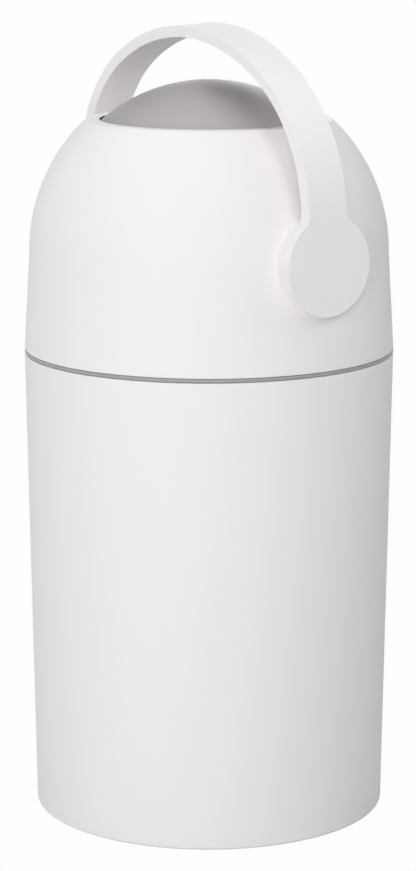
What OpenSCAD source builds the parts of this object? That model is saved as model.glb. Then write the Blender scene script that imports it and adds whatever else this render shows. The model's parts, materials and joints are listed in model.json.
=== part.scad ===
// Nappy bin with a turning ball drum
//
// Millimetres, Z up. The origin is the centre of the base, on the floor.
// The handle turns the drum about an axis along X. The drum has a chute right
// through it, along Y at rest, and a piston that slides in the chute and
// pushes the nappy out when the drum is turned over.

/* [Bin] */
// Radius where the bin stands on the floor
base_r = 139; // [128:1:155]
// How much wider the bin is at the seam
flare = 6; // [2:0.5:12]
// Height of the bin body, up to the seam
body_h = 365.6; // [260:0.1:480]
// Wall thickness of the bin and of the lid
wall = 2.6; // [2:0.1:3.4]
// Thickness of the bin's floor
floor_t = 3; // [2:0.5:5]
// Height of the hollow under the floor
foot_h = 6; // [4:0.5:12]
// Width of the ring that the bin stands on
foot_w = 9; // [6:1:20]
// Number of ribs under the floor
foot_ribs = 6; // [3:1:12]

/* [Bag ring] */
// Visible thickness of the bag ring
ring_t = 2.8; // [2:0.1:6]
// Height of the collar that tucks the bag into the bin
collar_h = 15; // [10:1:30]
// Wall of that collar
collar_t = 2; // [1.4:0.1:3]

/* [Lid] */
// Height of the straight lower part of the lid
cone_h = 75.6; // [60:0.1:110]
// How much narrower that part is at its top than at the seam
lid_taper = 4.4; // [2:0.1:8]
// Thickness of the flat land round the opening
land_t = 2.6; // [2:0.1:4]
// Rounding of the land's outer edge
land_round = 5; // [2:0.5:7]
// Height of the skirt that plugs into the bag ring
skirt_h = 10; // [7:1:14]
// Wall of that skirt
skirt_t = 3; // [2.6:0.1:4]
// Thickness of the lid's gasket cord
gasket_d = 2.4; // [2:0.1:3]
// How far the flat bosses stand out past the lid's widest point at the pivot
boss_stand = 2.3; // [2:0.1:6]
// Wall of the tube that holds each pivot bush
tube_t = 3.4; // [2.4:0.1:5]
// Stiffening ribs beside each tube
boss_rib_t = 1.6; // [1:0.1:3]

/* [Drum] */
// Height of the pivot above the centre of the lid's dome
pivot_rise = 4.9; // [0:0.1:9]
// How much smaller the ball is than the dome
ball_inset = 12.4; // [12:0.1:16]
// Wall of the two drum shells
shell_t = 2.4; // [2:0.1:3.2]
// Radius of the chute
chute_r = 75; // [60:1:80]
// Wall of the chute tube
chute_t = 2.2; // [1.6:0.1:3]
// Width of the seat for the stop ring round each mouth
seat_w = 6.9; // [6.6:0.1:9]
// How far each stop ring's lip reaches in over the chute
lip_w = 4; // [3:0.1:6]
// Dark gap between the ball and the edge of the lid's opening
opening_gap = 1; // [0.5:0.1:2]
// Distance of the flat on each side of the ball in from the ball's surface
flat_depth = 6.4; // [5:0.1:8]
// Lean of the handle and drum as they stand at rest
rest_lean = 2.5; // [-5:0.5:5]

/* [Pivot] */
// Radius of the trunnion's sleeve, which turns in the bush
journal_r = 12; // [11:0.5:14]
// Wall of the pivot bush
bush_t = 3; // [2:0.1:4]
// Radius of the trunnion's flange
flange_r = 30; // [28:0.5:31]
// Thickness of that flange
flange_t = 3; // [2.5:0.1:3.4]
// Radius of the keyed stub inside each end of the handle
stub_r = 9; // [8:0.1:9.5]
// Length of that stub
stub_l = 8.9; // [6:0.1:10]
// Width of the stop lug on each trunnion
lug_w = 8; // [6:0.5:10]

/* [Handle] */
// Width of the handle
handle_w = 35; // [26:1:44]
// Thickness at the top of the handle
crown_t = 8.5; // [6:0.1:12]
// Thickness of the handle's legs
leg_t = 10.4; // [8:0.1:12]
// How much further the top stands from the pivot than the hub faces do
arch_rise = 20.8; // [14:0.1:40]
// Angle from upright at which the top arc turns into the shoulder arc
arch_split = 33; // [25:1:40]
// Radius of the round hub at each end
hub_r = 38.4; // [34:0.1:44]
// Thickness of the hub
hub_t = 7; // [5:0.1:9]
// Fillet between hub and leg
hub_fillet = 9; // [4:0.5:14]

/* [Drum housing] */
// Gap between the ball and the bowl under it
bowl_gap = 2.2; // [1.5:0.1:2.6]
// Wall of the bowl
bowl_t = 2.4; // [2:0.1:3]
// How much wider the drop opening is than the drum's mouth
drop_margin = 3.3; // [2.6:0.1:5]
// Thickness of the seal under the bowl
seal_t = 3; // [2:0.1:5]
// Length of the spout under the drop opening
spout_l = 15; // [8:1:30]

/* [Piston] */
// Length of the piston's sleeve
sleeve_l = 36; // [28:1:60]
// Wall of the sleeve
sleeve_t = 4; // [3.4:0.1:6]
// Wall of the piston's end caps
cap_t = 2.4; // [1.8:0.1:3.4]
// Width of each wiper ring
wiper_w = 2.8; // [2:0.1:4]

/* [Hidden] */
$fn = 128;
fine = 400;          // for the thin slice of ball that each stop ring is cut from

// Clearances
seam_gap = 0.3;      // shadow gap above and below the bag ring
collar_gap = 0.4;    // bag ring's collar in the bin
skirt_gap = 0.5;     // lid's skirt in the collar
soft_gap = 0.3;      // a seal and what it wipes
snug = 0.1;          // pieces of one assembly that are pushed together
journal_gap = 0.05;  // trunnion sleeve in its bush, a running fit
end_float = 0.3;     // play of the drum along its pivot
hub_gap = 0.3;       // handle's hub over the lid's boss
side_gap = 0.6;      // handle's leg round the boss
tube_fit = 0.3;      // chute tube in the shells
cap_gap = 0.5;       // piston cap through the stop ring
sleeve_gap = 0.8;    // piston sleeve in the chute
split_gap = 0.2;     // parting line between the drum shells

// How far a cut runs past what it cuts, and a boss or rib into what carries it
over = 1;

// Heights
ring_z = body_h + seam_gap;
lid_z = ring_z + ring_t + seam_gap;
dome_z = lid_z + cone_h;
pivot_z = dome_z + pivot_rise;
floor_z = foot_h + floor_t;

// Bin
seam_r = base_r + flare;
foot_rib_r = 20;
collar_lead = 1;

// Lid
dome_r = seam_r - lid_taper;
edge_bevel = 0.4;

// Ball and chute
ball_r = dome_r - ball_inset;
tube_r = chute_r + chute_t;
mouth_r = tube_r + seat_w;
lip_r = chute_r - lip_w;
seat_y = sqrt(pow(ball_r, 2) - pow(mouth_r, 2));
seat_t = 2.4;
tube_stand = 3.5;
tube_end = seat_y + tube_stand;
lip_y = tube_end + end_float;
flat_x = ball_r - flat_depth;

// Opening of the lid, which frames the drum's mouth
opening_r = mouth_r;
top_z = pivot_z + sqrt(pow(ball_r + opening_gap, 2) - pow(opening_r, 2));

// Pivot
bush_r = journal_r + bush_t;
bush_flange_r = bush_r + 2;
pivot_tube_r = bush_r + tube_t;
flange_x = flat_x + flange_t;
bush_x = flange_x + end_float;
bush_flange_t = 2.7;
pivot_tube_x = bush_x + bush_flange_t;
boss_x = dome_r + boss_stand;
boss_r = hub_r - 0.2;
boss_rib_in = 5;
hub_x = boss_x + hub_gap;
face_x = hub_x + hub_t;
sleeve_end = boss_x - end_float;
stub_x = hub_x - stub_l;
web_t = 4;
hub_hole = 3.5;
pilot_l = 6;
web_x = stub_x - end_float - web_t;
well_r = 6;
key_w = 0.82;

// Stops of the drum
lug_r0 = bush_flange_r + 1.8;
lug_h = 7;
lug_r1 = lug_r0 + lug_h;
lug_x = 2.4;

// Arch of the handle
arch_r = face_x + arch_rise;
arc_cross = 0.01;

// Drum housing
tube_to_bowl = 2.8;
bowl_r = ball_r + bowl_gap;
bowl_top = pivot_z - pivot_tube_r - tube_to_bowl;
drop_r = mouth_r + drop_margin;
drop_z = pivot_z - sqrt(pow(bowl_r, 2) - pow(drop_r, 2));
rim_t = 2.8;
rim_gap = 1;
plate_t = 2.4;
spout_gap = 0.4;
seal_w = 4.6;
seal_r = drop_r + seal_w;
seat_r = seal_r + 8.3;

// Seal under the land of the lid
top_seal_z = top_z - land_t - snug;
top_seal_h = 6;
top_seal_r = sqrt(pow(dome_r - wall, 2) - pow(top_seal_z - dome_z, 2)) - 6 * snug;
top_collar_t = 2.2;

// Snap tabs that hold each stop ring behind its seat
tab_r = tube_r + 1.2;
tab_t = 1.8;
tab_w = 9;
hook_w = 1.3;
hook_t = 1.6;
tab_angles = [30, 90, 150, 210, 270, 330];

// Piston
piston_r = chute_r - sleeve_gap;
cap_r = lip_r - cap_gap;
cap_ball_r = ball_r - cap_gap;
piston_y = lip_y - end_float - sleeve_l / 2;
spigot_l = 6;
spigot_r = piston_r - sleeve_t - 2 * snug;
groove_d = 1.9;
wiper_in = 4.5;
wiper_y = sleeve_l / 2 - wiper_in;

// Screws: radius of shank, radius of head, height of head
small_screw = [1.2, 2.3, 1.4];
case_screw = [1.5, 2.8, 2.2];
hub_screw = [2, 4.4, 3];
screw_gap = 0.1;
small_boss_r = 3.4;
case_boss_r = 3.6;
case_screw_l = 12;
case_boss_h = 18;
case_circle_r = lid_inner_r(bowl_top) - case_boss_r - 6 * snug;
tip_room = 1.5;
case_angles = [30, 90, 150, 210, 270, 330];
flange_angles = [45, 135, 225, 315];
flange_grip = 11;
flange_circle_r = (lug_r0 + flange_r) / 2 - 0.9;
retainer_grip = 5;
retainer_circle_r = seal_r + 4.2;
retainer_angles = [0, 60, 120, 180, 240, 300];

// Inner radius of the bin at height z
function bin_inner_r(z) = base_r + (seam_r - base_r) * z / body_h - wall;

// Inner radius of the lid's straight part at height z
function lid_inner_r(z) = seam_r - lid_taper * (z - lid_z) / cone_h - wall;

// Radius of the shoulder arc of an arch of crown radius r that ends upright at x
function shoulder_r(r, x) = (x - r * sin(arch_split)) / (1 - sin(arch_split));

// A round bar along X, along Y or along Z, between two places
module x_bar(x0, x1, r) {
    translate([x0, 0, 0]) rotate([0, 90, 0]) cylinder(h = x1 - x0, r = r);
}

module y_bar(y0, y1, r) {
    translate([0, y0, 0]) rotate([-90, 0, 0]) cylinder(h = y1 - y0, r = r);
}

module z_bar(z0, z1, r) {
    translate([0, 0, z0]) cylinder(h = z1 - z0, r = r);
}

// A flat ring about Z
module z_ring(z0, z1, r0, r1) {
    difference() {
        z_bar(z0, z1, r1);
        z_bar(z0 - over, z1 + over, r0);
    }
}

// Copies turned round the chute to a list of angles, each with X pointing outwards
module round_chute(angles) {
    for (a = angles) rotate([0, -a, 0]) children();
}

// Copies round the pivot, at a radius and a list of angles
module round_pivot(r, angles) {
    for (a = angles) translate([0, r * cos(a), r * sin(a)]) children();
}

// Copies round the bin, at a radius and a list of angles
module round_bin(r, angles) {
    for (a = angles) translate([r * cos(a), r * sin(a), 0]) children();
}

// The right side as drawn, and its mirror image on the left
module both_sides() {
    for (m = [0, 1]) mirror([m, 0, 0]) children();
}

module both_ends() {
    for (m = [0, 1]) mirror([0, m, 0]) children();
}

// The drum's own axes: the pivot is the origin, the chute lies along Y
module in_drum() {
    translate([0, 0, pivot_z]) rotate([rest_lean, 0, 0]) children();
}

// The piston at the end of its travel where it rests
module in_piston() {
    in_drum() translate([0, -piston_y, 0]) children();
}

// A screw with its head at the top, pointing down from z = 0
module screw(kind, length) {
    difference() {
        union() {
            z_bar(-length, 0, kind[0]);
            z_bar(-kind[2], 0, kind[1]);
        }
        translate([0, 0, -kind[2] * 0.6]) cylinder(h = kind[2], r = kind[1] * 0.5, $fn = 6);
    }
}

// Bin

module bin_body() {
    color("whitesmoke") {
        difference() {
            rotate_extrude() polygon([
                [0, 0], [base_r - edge_bevel, 0], [base_r, edge_bevel],
                [seam_r, body_h - edge_bevel], [seam_r - edge_bevel, body_h], [0, body_h]
            ]);
            rotate_extrude() polygon([
                [0, floor_z], [bin_inner_r(floor_z), floor_z],
                [bin_inner_r(body_h), body_h], [bin_inner_r(body_h), body_h + over], [0, body_h + over]
            ]);
            z_bar(-over, foot_h, base_r - foot_w);
        }
        for (i = [0 : foot_ribs - 1]) rotate([0, 0, i * 360 / foot_ribs])
            translate([foot_rib_r, -wall / 2, foot_h / 2])
                cube([base_r - foot_w - foot_rib_r + over, wall, foot_h / 2 + over]);
    }
}

module bag_ring() {
    outer = min(bin_inner_r(body_h), bin_inner_r(body_h - collar_h)) - collar_gap;
    inner = outer - collar_t;
    color("darkgray") rotate_extrude() polygon([
        [inner, ring_z - collar_h], [outer - collar_lead / 2, ring_z - collar_h],
        [outer, ring_z - collar_h + collar_lead],
        [outer, ring_z], [seam_r - edge_bevel, ring_z], [seam_r, ring_z + edge_bevel],
        [seam_r, ring_z + ring_t - edge_bevel], [seam_r - edge_bevel, ring_z + ring_t],
        [inner, ring_z + ring_t]
    ]);
}

// Lid

skirt_r = min(bin_inner_r(body_h), bin_inner_r(body_h - collar_h)) - collar_gap - collar_t - skirt_gap;
gasket_r = skirt_r + (skirt_gap - soft_gap) - gasket_d / 2;
gasket_z = lid_z - skirt_h / 2;

// Half section of the dome's outside
module dome_section() {
    round_z = top_z - land_round;
    round_x = sqrt(pow(dome_r - land_round, 2) - pow(round_z - dome_z, 2));
    slope = atan2(round_z - dome_z, round_x);
    reach = land_round / cos((90 - slope) / 2);
    middle = (90 + slope) / 2;
    difference() {
        union() {
            polygon([
                [0, lid_z], [seam_r - edge_bevel, lid_z], [seam_r, lid_z + edge_bevel],
                [dome_r, dome_z], [0, dome_z]
            ]);
            intersection() {
                translate([0, dome_z]) circle(r = dome_r);
                translate([0, dome_z]) square([dome_r + over, top_z - dome_z]);
            }
        }
        translate([round_x, round_z]) difference() {
            polygon([
                [0, 0],
                [0, land_round + over],
                [reach * cos(middle) + over, land_round + over],
                [reach * cos(middle), reach * sin(middle)],
                [land_round * cos(slope), land_round * sin(slope)]
            ]);
            circle(r = land_round);
        }
    }
}

// Half section of the space inside the dome
module cavity_section() {
    translate([0, lid_z - over]) square([seam_r - wall, over]);
    polygon([
        [0, lid_z], [seam_r - wall, lid_z], [dome_r - wall, dome_z], [0, dome_z]
    ]);
    intersection() {
        translate([0, dome_z]) circle(r = dome_r - wall);
        translate([0, dome_z]) square([dome_r, top_z - land_t - dome_z]);
    }
}

// What stands in the space inside the dome, on the right: the bush tube and its ribs
module pivot_tube() {
    x_bar(pivot_tube_x, boss_x, pivot_tube_r);
    for (a = [0 : 45 : 180]) rotate([a, 0, 0])
        translate([dome_r - wall - boss_rib_in, 0, -boss_rib_t / 2])
            cube([boss_rib_in + wall + boss_stand - over, boss_r, boss_rib_t]);
}

// The block below each side of the pivot that the drum's stop lug comes down on
module stop_block() {
    difference() {
        translate([bush_x, bush_r, -lug_w / 2 - end_float - lug_w])
            cube([bush_flange_t + tube_t, lug_r1 - bush_r, lug_w]);
        x_bar(bush_x - over, pivot_tube_x, bush_flange_r + side_gap);
    }
}

module dome_shell() {
    color("whitesmoke") {
        difference() {
            union() {
                rotate_extrude() dome_section();
                translate([0, 0, pivot_z]) both_sides() x_bar(0, boss_x, boss_r);
            }
            difference() {
                union() {
                    rotate_extrude() cavity_section();
                    translate([0, 0, pivot_z]) both_sides() x_bar(ball_r / 2, boss_x - wall, boss_r - wall);
                }
                translate([0, 0, pivot_z]) both_sides() pivot_tube();
            }
            translate([0, 0, pivot_z]) both_sides() x_bar(flat_x, boss_x + over, bush_r + snug / 2);
            intersection() {
                translate([0, 0, pivot_z]) sphere(r = ball_r + opening_gap);
                z_bar(top_z - land_t - over, top_z + over, ball_r);
            }
        }
        translate([0, 0, pivot_z]) both_sides() both_ends() stop_block();
        z_ring(top_seal_z - top_seal_h - over, top_z - land_t + over / 2, top_seal_r + snug,
            top_seal_r + snug + top_collar_t);
        difference() {
            round_bin(case_circle_r, case_angles) z_bar(bowl_top, bowl_top + case_boss_h, case_boss_r);
            round_bin(case_circle_r, case_angles)
                z_bar(bowl_top - over, bowl_top + case_screw_l, case_screw[0]);
        }
        difference() {
            union() {
                z_ring(lid_z - skirt_h, lid_z + wall, skirt_r - skirt_t, skirt_r);
                z_ring(lid_z, lid_z + wall, skirt_r - skirt_t, seam_r - wall + over / 2);
            }
            translate([0, 0, gasket_z]) rotate_extrude()
                translate([gasket_r, 0]) circle(d = gasket_d + 2 * snug);
        }
    }
}

module lid_gasket() {
    color("dimgray") translate([0, 0, gasket_z]) rotate_extrude()
        translate([gasket_r, 0]) circle(d = gasket_d);
}

module top_seal() {
    color("dimgray") difference() {
        z_ring(top_seal_z - top_seal_h, top_seal_z, opening_r, top_seal_r);
        translate([0, 0, pivot_z]) sphere(r = ball_r + soft_gap);
    }
}

module drum_housing() {
    flange_out = lid_inner_r(bowl_top) - rim_gap;
    color("silver") difference() {
        union() {
            intersection() {
                translate([0, 0, pivot_z]) sphere(r = bowl_r + bowl_t);
                z_bar(drop_z, bowl_top, seam_r);
            }
            z_bar(bowl_top - rim_t, bowl_top, flange_out);
            z_bar(drop_z, drop_z + rim_t, seat_r);
            round_bin(retainer_circle_r, retainer_angles)
                z_bar(drop_z, drop_z + retainer_grip + 2 * tip_room, small_boss_r);
        }
        translate([0, 0, pivot_z]) sphere(r = bowl_r);
        round_bin(case_circle_r, case_angles)
            z_bar(bowl_top - rim_t - over, bowl_top + over, case_screw[0] + screw_gap);
        round_bin(retainer_circle_r, retainer_angles)
            z_bar(drop_z - over, drop_z + retainer_grip + tip_room, small_screw[0]);
    }
}

module drop_seal() {
    color("dimgray") difference() {
        z_bar(drop_z - snug - seal_t, drop_z - snug, seal_r);
        translate([0, 0, pivot_z]) sphere(r = ball_r + soft_gap);
    }
}

seal_bottom = drop_z - 2 * snug - seal_t;

module seal_retainer() {
    bore = mouth_r + spout_gap;
    color("silver") difference() {
        union() {
            z_ring(seal_bottom - plate_t, seal_bottom, bore, seat_r);
            z_ring(seal_bottom - over / 2, drop_z, seal_r + snug, seat_r);
            z_ring(seal_bottom - spout_l, seal_bottom - plate_t + over / 2, bore, bore + wall);
        }
        round_bin(retainer_circle_r, retainer_angles)
            z_bar(seal_bottom - plate_t - over, drop_z + over, small_screw[0] + screw_gap);
    }
}

module retainer_screws() {
    length = small_screw[2] + plate_t + drop_z - seal_bottom + retainer_grip;
    color("gray") translate([0, 0, seal_bottom - plate_t - small_screw[2]])
        round_bin(retainer_circle_r, retainer_angles) mirror([0, 0, 1]) screw(small_screw, length);
}

module housing_screws() {
    color("gray") translate([0, 0, bowl_top - rim_t - case_screw[2]])
        round_bin(case_circle_r, case_angles) mirror([0, 0, 1]) screw(case_screw, case_screw_l);
}

module right_bush() {
    color("ivory") translate([0, 0, pivot_z]) difference() {
        union() {
            x_bar(bush_x, pivot_tube_x - snug, bush_flange_r);
            x_bar(bush_x, sleeve_end, bush_r);
        }
        x_bar(bush_x - over, boss_x, journal_r + journal_gap);
    }
}

module left_bush() {
    mirror([1, 0, 0]) right_bush();
}

// Drum

// Both shells in one piece, before they are parted
module drum_shells() {
    difference() {
        union() {
            difference() {
                intersection() {
                    sphere(r = ball_r);
                    cube([2 * flat_x, 2 * seat_y, 2 * ball_r + over], center = true);
                }
                intersection() {
                    sphere(r = ball_r - shell_t);
                    cube([2 * (flat_x - shell_t), 2 * (seat_y - seat_t), 2 * ball_r], center = true);
                }
            }
            both_sides() round_pivot(flange_circle_r, flange_angles)
                x_bar(flat_x - flange_grip - 2 * tip_room, flat_x - over, small_boss_r);
        }
        y_bar(-ball_r, ball_r, tube_r + tube_fit);
        both_sides() x_bar(flat_x - shell_t - over, flat_x + over, journal_r + 2 * snug);
        both_ends() round_chute(tab_angles)
            translate([tab_r - tube_fit, seat_y - seat_t - over, -tab_w / 2 - tube_fit])
                cube([tab_t + hook_w + 2 * tube_fit, seat_t + 2 * over, tab_w + 2 * tube_fit]);
        both_sides() round_pivot(flange_circle_r, flange_angles)
            x_bar(flat_x - flange_grip - tip_room, flat_x + over, small_screw[0]);
    }
}

module drum_upper_shell() {
    color("darkgray") in_drum() intersection() {
        drum_shells();
        translate([-ball_r, -ball_r, split_gap / 2]) cube([2 * ball_r, 2 * ball_r, ball_r]);
    }
}

module drum_lower_shell() {
    color("darkgray") in_drum() intersection() {
        drum_shells();
        translate([-ball_r, -ball_r, -split_gap / 2 - ball_r]) cube([2 * ball_r, 2 * ball_r, ball_r]);
    }
}

module chute_tube() {
    color("silver") in_drum() difference() {
        y_bar(-tube_end, tube_end, tube_r);
        y_bar(-ball_r, ball_r, chute_r);
    }
}

// Stop ring of the rear mouth
module stop_ring() {
    difference() {
        intersection() {
            sphere(r = ball_r, $fn = fine);
            y_bar(seat_y + snug, ball_r, mouth_r + over);
        }
        y_bar(0, ball_r + over, lip_r);
        y_bar(0, lip_y, tube_r + tube_fit);
    }
    round_chute(tab_angles) translate([tab_r, seat_y - seat_t - snug - hook_t, -tab_w / 2]) {
        cube([tab_t, seat_t + hook_t + 2 * snug + over / 2, tab_w]);
        cube([tab_t + hook_w, hook_t, tab_w]);
    }
}

module rear_stop_ring() {
    color("darkgray") in_drum() stop_ring();
}

module front_stop_ring() {
    color("darkgray") in_drum() mirror([0, 1, 0]) stop_ring();
}

// Trunnion of the right side, with the well for the hub screw inside it
module trunnion() {
    difference() {
        union() {
            x_bar(flat_x + snug, flange_x, flange_r);
            x_bar(flat_x - pilot_l, sleeve_end, journal_r);
            translate([flange_x - over / 2, -lug_w / 2, lug_r0])
                cube([lug_x + over / 2, lug_w, lug_r1 - lug_r0]);
        }
        x_bar(flat_x - pilot_l - over, web_x, well_r);
        x_bar(web_x - over, stub_x, hub_screw[0] + screw_gap);
        intersection() {
            x_bar(web_x + web_t, sleeve_end + over, stub_r + snug);
            cube([2 * face_x, 2 * stub_r + over, 2 * (stub_r * key_w + snug)], center = true);
        }
        round_pivot(flange_circle_r, flange_angles)
            x_bar(flat_x - over, flange_x + over, small_screw[0] + screw_gap);
        round_pivot(flange_circle_r, flange_angles)
            x_bar(flange_x - small_screw[2], flange_x + over, small_screw[1] + screw_gap);
    }
}

module right_trunnion() {
    color("silver") in_drum() trunnion();
}

module left_trunnion() {
    color("silver") in_drum() mirror([1, 0, 0]) trunnion();
}

module trunnion_screws() {
    color("gray") in_drum() both_sides() round_pivot(flange_circle_r, flange_angles)
        translate([flange_x + snug / 2, 0, 0]) rotate([0, 90, 0]) screw(small_screw, flange_t + flange_grip);
}

module hub_screws() {
    length = hub_screw[2] + web_t + end_float + stub_l + hub_hole - tip_room / 2;
    color("gray") in_drum() both_sides()
        translate([web_x - hub_screw[2], 0, 0]) rotate([0, -90, 0]) screw(hub_screw, length);
}

// Handle

// Area under a three-centred arch: crown arc, two shoulder arcs and upright legs.
// Each shoulder arc starts a hair outside the crown arc, so that the two cross.
module arch_area(r, x) {
    rs = shoulder_r(r + arc_cross, x);
    cx = (r + arc_cross - rs) * sin(arch_split);
    cz = (r + arc_cross - rs) * cos(arch_split);
    start = arch_split - 3;
    far = 3 * r;
    intersection() {
        circle(r = r);
        polygon([[0, 0], [far * sin(arch_split), far * cos(arch_split)],
            [-far * sin(arch_split), far * cos(arch_split)]]);
    }
    for (m = [0, 1]) mirror([m, 0]) {
        intersection() {
            translate([cx, cz]) circle(r = rs);
            translate([cx, cz]) polygon([[0, 0], [far, 0], [far, far],
                [far * sin(start), far * cos(start)]]);
        }
        polygon([[0, 0], [cx, cz], [x, cz], [x, -2 * hub_r], [0, -2 * hub_r]]);
    }
}

// Side view of the handle: a round hub that flows into a straight leg
module leg_area() {
    reach = hub_r + hub_fillet;
    cy = handle_w / 2 + hub_fillet;
    cz = sqrt(pow(reach, 2) - pow(cy, 2));
    circle(r = hub_r);
    translate([-handle_w / 2, 0]) square([handle_w, arch_r + over]);
    for (m = [0, 1]) mirror([m, 0]) difference() {
        polygon([[0, 0], [cy * hub_r / reach, cz * hub_r / reach], [cy, cz], [0, cz]]);
        translate([cy, cz]) circle(r = hub_fillet);
    }
}

module handle() {
    color("whitesmoke") in_drum() difference() {
        union() {
            difference() {
                intersection() {
                    rotate([90, 0, 0]) linear_extrude(height = 3 * hub_r, center = true) difference() {
                        arch_area(arch_r, face_x);
                        arch_area(arch_r - crown_t, face_x - leg_t);
                    }
                    rotate([90, 0, 90]) linear_extrude(height = 3 * face_x, center = true) leg_area();
                }
                both_sides() x_bar(0, hub_x, hub_r + side_gap);
            }
            both_sides() intersection() {
                x_bar(stub_x, hub_x + over, stub_r);
                cube([2 * face_x, 2 * stub_r + over, 2 * stub_r * key_w], center = true);
            }
        }
        both_sides() x_bar(stub_x - over, hub_x + hub_hole, hub_screw[0]);
    }
}

// Piston

module piston_sleeve() {
    color("lightgray") in_piston() difference() {
        y_bar(-sleeve_l / 2, sleeve_l / 2, piston_r);
        both_ends() y_bar(seat_t / 2, sleeve_l, piston_r - sleeve_t);
        both_ends() translate([0, wiper_y, 0]) difference() {
            y_bar(-wiper_w / 2 - snug, wiper_w / 2 + snug, piston_r + over);
            y_bar(-wiper_w, wiper_w, piston_r - groove_d);
        }
    }
}

// Rear cap: its face is part of the ball when the piston stands at that mouth
module piston_cap() {
    difference() {
        union() {
            intersection() {
                translate([0, -piston_y, 0]) sphere(r = cap_ball_r);
                y_bar(sleeve_l / 2 + snug, ball_r, cap_r);
            }
            y_bar(sleeve_l / 2 - spigot_l, sleeve_l / 2 + over, spigot_r);
        }
        intersection() {
            translate([0, -piston_y, 0]) sphere(r = cap_ball_r - cap_t);
            y_bar(0, ball_r, spigot_r - cap_t);
        }
    }
}

module piston_rear_cap() {
    color("lightgray") in_piston() piston_cap();
}

module piston_front_cap() {
    color("lightgray") in_piston() mirror([0, 1, 0]) piston_cap();
}

module wiper() {
    translate([0, wiper_y, 0]) difference() {
        y_bar(-wiper_w / 2, wiper_w / 2, chute_r - soft_gap);
        y_bar(-wiper_w, wiper_w, piston_r - groove_d + snug);
    }
}

module rear_wiper() {
    color("dimgray") in_piston() wiper();
}

module front_wiper() {
    color("dimgray") in_piston() mirror([0, 1, 0]) wiper();
}

bin_body();
bag_ring();
dome_shell();
lid_gasket();
top_seal();
drum_housing();
drop_seal();
seal_retainer();
retainer_screws();
housing_screws();
left_bush();
right_bush();
drum_upper_shell();
drum_lower_shell();
chute_tube();
front_stop_ring();
rear_stop_ring();
left_trunnion();
right_trunnion();
trunnion_screws();
handle();
hub_screws();
piston_sleeve();
piston_front_cap();
piston_rear_cap();
front_wiper();
rear_wiper();
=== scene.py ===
"""Nappy bin with a turning ball drum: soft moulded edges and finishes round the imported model.

Metres, Z up. The pivot runs along X and the chute along Y. The mouldings that show are made again
with rounded edges, and every other node keeps its shape and takes its finish.
"""

import json
import math
from typing import NamedTuple

import bmesh
import bpy
from bpy.props import FloatProperty, FloatVectorProperty, IntProperty, PointerProperty
from mathutils import Matrix, Vector


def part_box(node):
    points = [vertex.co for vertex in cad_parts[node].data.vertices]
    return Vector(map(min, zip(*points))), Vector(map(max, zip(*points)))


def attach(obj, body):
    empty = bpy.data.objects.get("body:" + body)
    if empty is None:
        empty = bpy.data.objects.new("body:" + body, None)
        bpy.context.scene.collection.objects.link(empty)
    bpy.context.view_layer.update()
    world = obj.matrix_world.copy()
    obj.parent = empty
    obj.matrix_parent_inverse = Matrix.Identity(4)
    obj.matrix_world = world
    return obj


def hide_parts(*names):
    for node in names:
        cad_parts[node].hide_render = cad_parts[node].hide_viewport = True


bl_info = {
    "name": "Nappy Bin",
    "version": (1, 0, 0),
    "blender": (4, 5, 0),
    "location": "3D View > Sidebar > Nappy Bin",
    "description": "Dresses a nappy bin with a turning ball drum",
    "category": "Object",
}

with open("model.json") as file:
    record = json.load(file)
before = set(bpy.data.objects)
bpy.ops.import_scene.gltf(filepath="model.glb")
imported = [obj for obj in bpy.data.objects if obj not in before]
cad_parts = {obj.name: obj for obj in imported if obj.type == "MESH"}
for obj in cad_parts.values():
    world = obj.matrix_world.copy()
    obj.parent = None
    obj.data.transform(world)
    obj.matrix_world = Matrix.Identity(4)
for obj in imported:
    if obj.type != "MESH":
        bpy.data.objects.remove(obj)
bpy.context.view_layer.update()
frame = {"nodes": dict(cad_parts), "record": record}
NODES = frame["nodes"]
MM = 0.001
ROUNDING = "rounding"  # the attribute with the rounding of each corner of an outline
SHARP = math.radians(30)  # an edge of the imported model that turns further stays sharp
WELD = 1e-6  # distance at which the corners of its loose triangles are one
TINY = 1e-7  # distance at which any two points are one
AXIS_WELD = 5e-6  # the same for the points of a turned moulding that meet on its axis
SEGMENTS, FINE_SEGMENTS = 160, 256  # facets round a turned moulding and round the largest ones
NEAR = 0.05 * MM  # how near a point of the solid lid has to be to count as on a surface


def low(node):
    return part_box(node)[0]


def high(node):
    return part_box(node)[1]


SEAM_R = high("bin_body").x
BODY_H = high("bin_body").z
PIVOT_Z = (high("left_bush").z + low("left_bush").z) / 2
FACE_X = high("handle").x
TOP_Z = high("dome_shell").z


# Node trees


class Value:
    """A number or vector socket of a node tree. The usual operators add Math nodes."""

    def __init__(self, tree, socket):
        self.tree, self.socket = tree, socket

    def math(self, operation, *others):
        return self.tree.math(operation, self, *others)

    def __add__(self, other):
        return self.math("ADD", other)

    def __sub__(self, other):
        return self.math("SUBTRACT", other)

    def __mul__(self, other):
        return self.math("MULTIPLY", other)

    def __truediv__(self, other):
        return self.math("DIVIDE", other)

    def __rsub__(self, other):
        return self.tree.math("SUBTRACT", other, self)

    __radd__, __rmul__ = __add__, __mul__


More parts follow.
